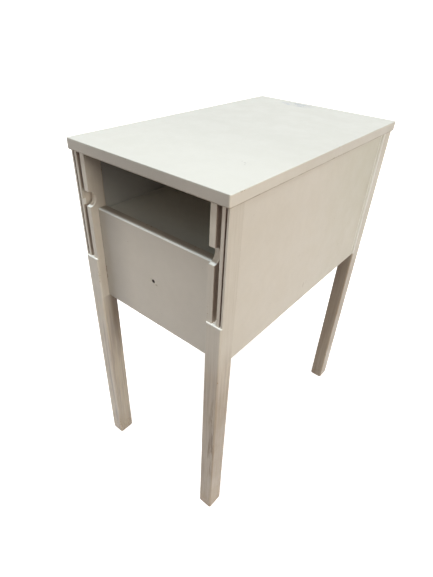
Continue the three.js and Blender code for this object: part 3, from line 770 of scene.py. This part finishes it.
PAINTED_TOP = paint("painted_top", "top_panel", chips=0.8, marks=top_marks)
PAINTED_LEG = paint("painted_leg_front", "leg_front_right", chips=1.2, marks=leg_marks, leg=True)
PAINTED_REAR_LEG = paint("painted_leg_rear", "leg_rear_right", chips=1.2, marks=leg_marks, leg=True)
PAINTED_SIDE = paint("painted_side", "side_panel_right", chips=0.7, marks=side_marks, inside=INSIDE_GREY)
PAINTED_BACK = paint("painted_back", "back_panel", chips=0.7, inside=INSIDE_GREY)
PAINTED_SHELF = paint("painted_shelf", "niche_shelf", chips=0.9, inside=SHELF_TONE)
PAINTED_FRONT = paint("painted_drawer_front", "drawer_front", chips=1.1, marks=front_marks)


# ---------------------------------------------------------------- legs
def foot_chips(x, y, seed):
    """Small bites out of the edges of a foot."""
    draw = random.Random(seed)
    margin = 3
    chips = []
    for i in range(CHIPS_PER_FOOT):
        across = draw.uniform(x[0] + margin, x[1] - margin)
        along = draw.uniform(y[0] + margin, y[1] - margin)
        at = ((across, draw.choice(y), 0.0), (draw.choice(x), along, 0.0))[i % 2]
        size = (draw.uniform(1.2, 3.2), draw.uniform(0.8, 1.6), draw.uniform(0.9, 2.4))
        chips.append(lump(at, size, seed * 10 + i))
    return chips


def leg_blank(node):
    """A right leg's bmesh with a rounded foot, its two spans across and along, and its top."""
    low, high = span(node)
    x = sorted((abs(low[0]), abs(high[0])))
    y = (low[1], high[1])
    levels = []
    for i in range(FOOT_STEPS + 1):
        part = i / FOOT_STEPS
        turn = math.radians(90 * part)
        inset = FOOT_ROUNDING * (1 - math.sin(turn))
        across = (x[0] + inset, x[1] - inset)
        along = (y[0] + inset, y[1] - inset)
        radius = LEG_EDGE_RADIUS + (FOOT_CORNER_RADIUS - LEG_EDGE_RADIUS) * (1 - part)
        level = low[2] + FOOT_ROUNDING * (1 - math.cos(turn))
        levels.append((rounded_outline(across, along, radius), level))
    levels.append((rounded_outline(x, y, LEG_EDGE_RADIUS), high[2]))
    return loft(levels), x, y, high[2]


def front_leg(side):
    node = "leg_front_" + side
    mirror = side == "left"
    bm, x, y, top = leg_blank(node)
    piece = mesh_object(node + "_shaped", bm, mirror)
    face = y[0] + LEDGE_DEPTH
    upper = (LIP_Z, top + PAST)
    cutters = [block((x[0] - PAST, x[1] + PAST), (y[0] - PAST, face), upper)]
    for start, end, depth in channels(x[0]):
        cutters.append(block((start, end), (face - PAST, face + depth), upper))
    notch = circle(face, NOTCH_Z, NOTCH_RADIUS, sides=56)
    cutters.append(prism(notch, x[0] - PAST, x[0] + INNER_WALL + PAST, "x"))
    cutters += foot_chips(x, y, FOOT_SEEDS[node])
    carve(piece, cutters, mirror)
    soften(piece, 0.8, steps=3)
    fit(piece, node, "cabinet", PAINTED_LEG)


def rear_leg(side):
    node = "leg_rear_" + side
    mirror = side == "left"
    bm, x, y, _ = leg_blank(node)
    piece = mesh_object(node + "_shaped", bm, mirror)
    carve(piece, foot_chips(x, y, FOOT_SEEDS[node]), mirror)
    soften(piece, 0.55)
    fit(piece, node, "cabinet", PAINTED_REAR_LEG)


for side in SIDES:
    front_leg(side)
    rear_leg(side)


# ---------------------------------------------------------------- boards
def board(node, body, material, soft, cutters=(), upper_radius=0.0, longer=0.0):
    """A plain board in a node's box; longer takes up most of the fine CAD gap at its two ends."""
    low, high = span(node)
    bm = block((low[0], high[0]), (low[1] - longer, high[1] + longer), (low[2], high[2]))
    if upper_radius:
        round_flat_edges(bm, high[2], upper_radius, steps=4)
    piece = mesh_object(node + "_shaped", bm)
    if cutters:
        carve(piece, cutters)
    soften(piece, soft)
    fit(piece, node, body, material)


def top_slab():
    low, high = span("top_panel")
    outline = rounded_outline((low[0], high[0]), (low[1], high[1]), TOP_CORNER_RADIUS, steps=8)
    bm = prism(outline, low[2], high[2])
    round_flat_edges(bm, low[2], TOP_EASED_EDGE / 2, steps=2)
    round_flat_edges(bm, high[2], TOP_EASED_EDGE, steps=4)
    piece = mesh_object("top_panel_shaped", bm)
    dents = [
        lump((high[0] - 0.2, low[1] + 31, high[2]), (0.8, 2.2, 0.7), 21),
        lump((high[0] - 62, low[1] + 0.1, high[2]), (2.4, 0.7, 0.7), 22),
        lump((low[0] + 0.2, low[1] + 120, high[2]), (0.8, 2.6, 0.7), 23),
        lump((low[0] + 88, high[1] - 0.1, high[2]), (2.0, 0.7, 0.7), 24),
        lump((high[0] - 0.2, high[1] - 77, low[2]), (0.7, 2.0, 0.7), 25),
    ]
    carve(piece, dents)
    soften(piece, 0.15, steps=1, angle=50)
    fit(piece, "top_panel", "cabinet", PAINTED_TOP)


def drawer_face():
    """The drawer front, with its upper front edge rounded over and the empty knob hole."""
    low, high = span("drawer_front")
    eased = FRONT_EASED_EDGE
    outline = [(high[1], low[2]), (high[1], high[2]), (low[1] + eased, high[2])]
    for i in range(1, FRONT_EASED_STEPS):
        turn = math.radians(90 + 90 * i / FRONT_EASED_STEPS)
        along = low[1] + eased + eased * math.cos(turn)
        outline.append((along, high[2] - eased + eased * math.sin(turn)))
    outline += [(low[1], high[2] - eased), (low[1], low[2])]
    bm = prism(outline, low[0] - FRONT_WIDER, high[0] + FRONT_WIDER, "x")
    piece = mesh_object("drawer_front_shaped", bm)
    behind = (high[1] - FRONT_GROOVE_DEPTH, high[1] + PAST)
    hole = circle(0, KNOB_HOLE_Z, KNOB_HOLE_RADIUS, sides=40)
    cutters = [
        prism(hole, low[1] - PAST, high[1] + PAST, "y"),
        block(BOTTOM_GROOVE_X, behind, BOTTOM_GROOVE_Z),
        lump((6.6, low[1], KNOB_HOLE_Z - 4.6), (2.6, 0.45, 1.3), 31),
        lump((2.6, low[1], KNOB_HOLE_Z - 2.2), (1.3, 0.5, 1.0), 32),
        lump((-2.4, low[1], KNOB_HOLE_Z + 1.6), (1.0, 0.4, 0.8), 33),
    ]
    carve(piece, cutters)
    soften(piece, 0.2)
    fit(piece, "drawer_front", "drawer", PAINTED_FRONT)


top_slab()
drawer_face()
for side in SIDES:
    board("side_panel_" + side, "cabinet", PAINTED_SIDE, soft=0.2, longer=SIDE_LONGER)
board("back_panel", "cabinet", PAINTED_BACK, soft=0.6)
board("niche_shelf", "cabinet", PAINTED_SHELF, soft=0.6)


# ---------------------------------------------------------------- drawer box
def drawer_side(side):
    """A foil-covered side with the groove that holds the drawer bottom."""
    node = "drawer_side_" + side
    low, high = span(node)
    sign = -1 if side == "left" else 1
    inner = min(abs(low[0]), abs(high[0]))
    across = sorted((sign * (inner - PAST), sign * (inner + SIDE_GROOVE_DEPTH)))
    groove = block(across, (low[1] - PAST, high[1] + PAST), BOTTOM_GROOVE_Z)
    skin = foil("foil_" + node, node)
    board(node, "drawer", skin, 0.4, [groove], upper_radius=DRAWER_EDGE_RADIUS)


for side in SIDES:
    drawer_side(side)
back_foil = foil("foil_drawer_back", "drawer_back")
board("drawer_back", "drawer", back_foil, 0.4, upper_radius=DRAWER_EDGE_RADIUS)
board("drawer_bottom", "drawer", hardboard("drawer_bottom_board"), soft=0.2)

# ---------------------------------------------------------------- fittings kept from the CAD
ZINC = zinc_plate()
FINISHES = {  # the first word that a piece's name holds, so a rail's screw counts as a screw
    "dowel": beech_wood(),
    "screw": ZINC,
    "bolt": ZINC,
    "cam": ZINC,
    "roller": nylon_roller(),
    "bumper": grey_rubber(),
    "rail": white_enamel(),
}

for name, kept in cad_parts.items():
    if kept.hide_render:
        continue
    word = next(w for w in FINISHES if w in name.split("_"))
    kept.data.materials.clear()
    kept.data.materials.append(FINISHES[word])
    weld = kept.modifiers.new("weld", "WELD")
    weld.merge_threshold = 0.01 * MM
    flat = kept.modifiers.new("one_face_per_plane", "DECIMATE")
    flat.decimate_type = "DISSOLVE"
    flat.angle_limit = math.radians(0.5)
    soften(kept, 0.18, angle=40)


# ---------------------------------------------------------------- floor and dome
DOME_RADIUS = 30.0  # metres
FLOOR_DROP = 0.0002
FLOOR_GLOW = 0.85
DOME_GLOW = 1.02
WORLD_GLOW = 0.02


def pale_floor():
    """A wide, faintly mottled floor just under the feet, whose own glow hides most shadows."""
    bm = bmesh.new()
    bmesh.ops.create_circle(bm, cap_ends=True, segments=96, radius=DOME_RADIUS / MM)
    floor = mesh_object("floor", bm)
    floor.location.z = -FLOOR_DROP
    g = Graph("pale_floor")
    tone = g.patches((0.58, 0.52, 0.49), (0.59, 0.53, 0.50), 3.0)
    glow = {"Emission_Color": (1.0, 1.0, 1.0, 1.0), "Emission_Strength": FLOOR_GLOW}
    floor.data.materials.append(g.finish(tone, 0.7, **glow))
    floor.visible_diffuse = False
    floor.visible_shadow = False


def pale_dome():
    """Stands behind everything, shows in the paint's sheen, and leaves the light to the lamps."""
    bm = bmesh.new()
    bmesh.ops.create_uvsphere(bm, u_segments=64, v_segments=32, radius=DOME_RADIUS / MM * 0.98)
    dome = mesh_object("dome", bm)
    glow = bpy.data.materials.new("pale_dome")
    glow.use_nodes = True
    shader = glow.node_tree.nodes["Principled BSDF"]
    shader.inputs["Base Color"].default_value = (0.0, 0.0, 0.0, 1.0)
    shader.inputs["Emission Color"].default_value = (1.0, 0.99, 0.975, 1.0)
    shader.inputs["Emission Strength"].default_value = DOME_GLOW
    dome.data.materials.append(glow)
    dome.visible_diffuse = False
    dome.visible_shadow = False
    dome.visible_transmission = False


pale_floor()
pale_dome()
world = bpy.data.worlds.new("studio")
bpy.context.scene.world = world
world.use_nodes = True
world.node_tree.nodes["Background"].inputs["Color"].default_value = (1.0, 0.99, 0.97, 1.0)
world.node_tree.nodes["Background"].inputs["Strength"].default_value = WORLD_GLOW


# ---------------------------------------------------------------- lamps
def lamp(name, kind, towards, power, color, glossy):
    """A lamp that lights the object; towards points from the object to the lamp."""
    light = bpy.data.objects.new(name, bpy.data.lights.new(name, kind))
    light.data.energy = power
    light.data.color = color
    light.rotation_mode = "QUATERNION"
    light.rotation_quaternion = Vector(towards).to_track_quat("Z", "Y")
    light.visible_glossy = glossy
    bpy.context.scene.collection.objects.link(light)
    return light


def sun(name, towards, power, color, spread, glossy=True):
    light = lamp(name, "SUN", towards, power, color, glossy)
    light.data.angle = math.radians(spread)


def panel_light(name, at, aim, width, power, color):
    light = lamp(name, "AREA", Vector(at) - Vector(aim), power, color, False)
    light.data.shape = "SQUARE"
    light.data.size = width
    light.visible_camera = False
    light.location = at


# The overhead sun gives no highlight, so that the top keeps its tone from every side.
sun("overhead", (0.04, -0.20, 1.0), 2.48, (0.845, 0.95, 1.0), 8, glossy=False)
sun("right", (1.0, -0.03, 0.38), 1.50, (1.0, 0.955, 0.80), 30)
sun("front", (0.0, -1.0, 0.2), 0.52, (1.0, 0.87, 0.74), 40)
sun("behind", (-1.0, 0.8, 0.06), 2.3, (1.0, 0.96, 0.91), 60)
panel_light("right_window", (1.0, -0.5, 0.9), (0.14, 0.0, 0.6), 0.7, 1.9, (1.0, 0.82, 0.78))
panel_light("right_ceiling", (0.7, -0.1, 1.5), (0.0, 0.0, 0.66), 0.8, 3.0, (0.84, 0.95, 1.0))
panel_light("front_ceiling", (0.3, -1.0, 1.4), (0.0, -0.2, 0.6), 0.6, 1.9, (0.84, 0.93, 0.94))

# ---------------------------------------------------------------- camera
azimuth, elevation, roll = map(math.radians, (CAMERA_AZIMUTH, CAMERA_ELEVATION, CAMERA_ROLL))
ahead = math.cos(elevation)
forward = Vector((ahead * math.cos(azimuth), ahead * math.sin(azimuth), math.sin(elevation)))
level = Vector((math.sin(azimuth), -math.cos(azimuth), 0))
upright = level.cross(forward)
right = level * math.cos(roll) + upright * math.sin(roll)
up = upright * math.cos(roll) - level * math.sin(roll)
camera = bpy.data.objects.new("camera", bpy.data.cameras.new("camera"))
camera.data.lens = CAMERA_LENS
camera.data.sensor_width = 36.0
camera.data.clip_start = 0.02
camera.data.clip_end = 1000.0
camera.matrix_world = Matrix.Translation(CAMERA_AT) @ Matrix((right, up, -forward)).transposed().to_4x4()
bpy.context.scene.collection.objects.link(camera)
bpy.context.scene.camera = camera
bpy.context.scene.view_settings.view_transform = "Standard"
